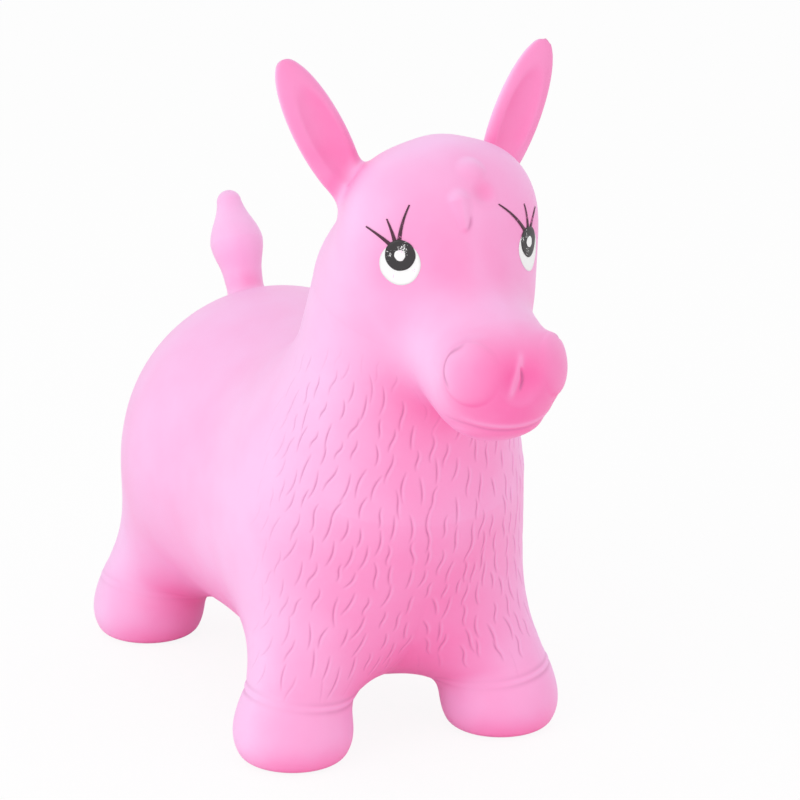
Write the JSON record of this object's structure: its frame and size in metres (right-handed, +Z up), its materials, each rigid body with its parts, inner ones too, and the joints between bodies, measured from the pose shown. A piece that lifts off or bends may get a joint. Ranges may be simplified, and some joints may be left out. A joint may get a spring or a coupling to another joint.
{
  "type": "inflatable ride-on horse",
  "caption": "Hollow, air-filled soft horse that a small child sits on and bounces on its four stub legs, holding its ears.",
  "frame": {"origin": "on the floor, under the middle of the bounding box", "axes": "-Y is the way the horse faces, +X is its left side, +Z is up"},
  "size_m": [0.2604, 0.5345, 0.5232],
  "materials": {
    "skin": "satin soft PVC, pink",
    "ear_skin": "satin soft PVC, pink",
    "tail_skin": "satin soft PVC, pink",
    "leg_skin": "satin soft PVC, pink",
    "hoof_skin": "satin soft PVC, pink",
    "eye_white": "printed white ink",
    "eye_black": "printed black ink",
    "valve": "satin soft PVC, pink",
    "plug": "moulded white"
  },
  "bodies": {
    "trunk": {"trunk_skin": "skin", "neck_skin": "skin", "tail_root": "tail_skin", "front_right_leg": "leg_skin", "front_left_leg": "leg_skin", "rear_right_leg": "leg_skin", "rear_left_leg": "leg_skin", "valve_bush": "valve"},
    "head": {"head_skin": "skin", "right_ear_root": "ear_skin", "left_ear_root": "ear_skin", "right_eye_white": "eye_white", "right_eye_iris_and_lashes": "eye_black", "right_eye_highlight": "eye_white", "left_eye_white": "eye_white", "left_eye_iris_and_lashes": "eye_black", "left_eye_highlight": "eye_white"},
    "right_ear": {"right_ear": "ear_skin"},
    "left_ear": {"left_ear": "ear_skin"},
    "tail": {"tail": "tail_skin"},
    "front_right_foot": {"front_right_hoof": "hoof_skin"},
    "front_left_foot": {"front_left_hoof": "hoof_skin"},
    "rear_right_foot": {"rear_right_hoof": "hoof_skin"},
    "rear_left_foot": {"rear_left_hoof": "hoof_skin"},
    "plug": {"valve_plug": "plug"}
  },
  "joints": [
    {"name": "head_nod", "type": "hinge", "parent": "trunk", "child": "head", "pos_m": [0, -0.0604, 0.2745], "axis": [1, 0, 0], "range_deg": [-10, 10], "stiffness_Nm_per_rad": 8, "springref_deg": -1.72, "deforming": ["neck_skin"]},
    {"name": "right_ear_bend", "type": "hinge", "parent": "head", "child": "right_ear", "pos_m": [-0.0668, -0.1042, 0.4535], "axis": [0.8944, 0, 0.4472], "range_deg": [-30, 30], "stiffness_Nm_per_rad": 0.3, "deforming": ["right_ear_root"]},
    {"name": "left_ear_bend", "type": "hinge", "parent": "head", "child": "left_ear", "pos_m": [0.0668, -0.1042, 0.4535], "axis": [0.8944, 0, -0.4472], "range_deg": [-30, 30], "stiffness_Nm_per_rad": 0.3, "deforming": ["left_ear_root"]},
    {"name": "tail_bend", "type": "hinge", "parent": "trunk", "child": "tail", "pos_m": [0, 0.2199, 0.275], "axis": [1, 0, 0], "range_deg": [-30, 30], "stiffness_Nm_per_rad": 0.4, "deforming": ["tail_root"]},
    {"name": "front_right_foot_press", "type": "slide", "parent": "trunk", "child": "front_right_foot", "axis": [0, 0, 1], "range_m": [0, 0.02], "stiffness_N_per_m": 2500, "springref_m": -0.002, "deforming": ["front_right_leg"]},
    {"name": "front_left_foot_press", "type": "slide", "parent": "trunk", "child": "front_left_foot", "axis": [0, 0, 1], "range_m": [0, 0.02], "stiffness_N_per_m": 2500, "springref_m": -0.002, "deforming": ["front_left_leg"]},
    {"name": "rear_right_foot_press", "type": "slide", "parent": "trunk", "child": "rear_right_foot", "axis": [0, 0, 1], "range_m": [0, 0.02], "stiffness_N_per_m": 2500, "springref_m": -0.002, "deforming": ["rear_right_leg"]},
    {"name": "rear_left_foot_press", "type": "slide", "parent": "trunk", "child": "rear_left_foot", "axis": [0, 0, 1], "range_m": [0, 0.02], "stiffness_N_per_m": 2500, "springref_m": -0.002, "deforming": ["rear_left_leg"]},
    {"name": "plug_pull", "type": "slide", "parent": "trunk", "child": "plug", "axis": [0, 0, -1], "range_m": [0, 0.02]}
  ]
}
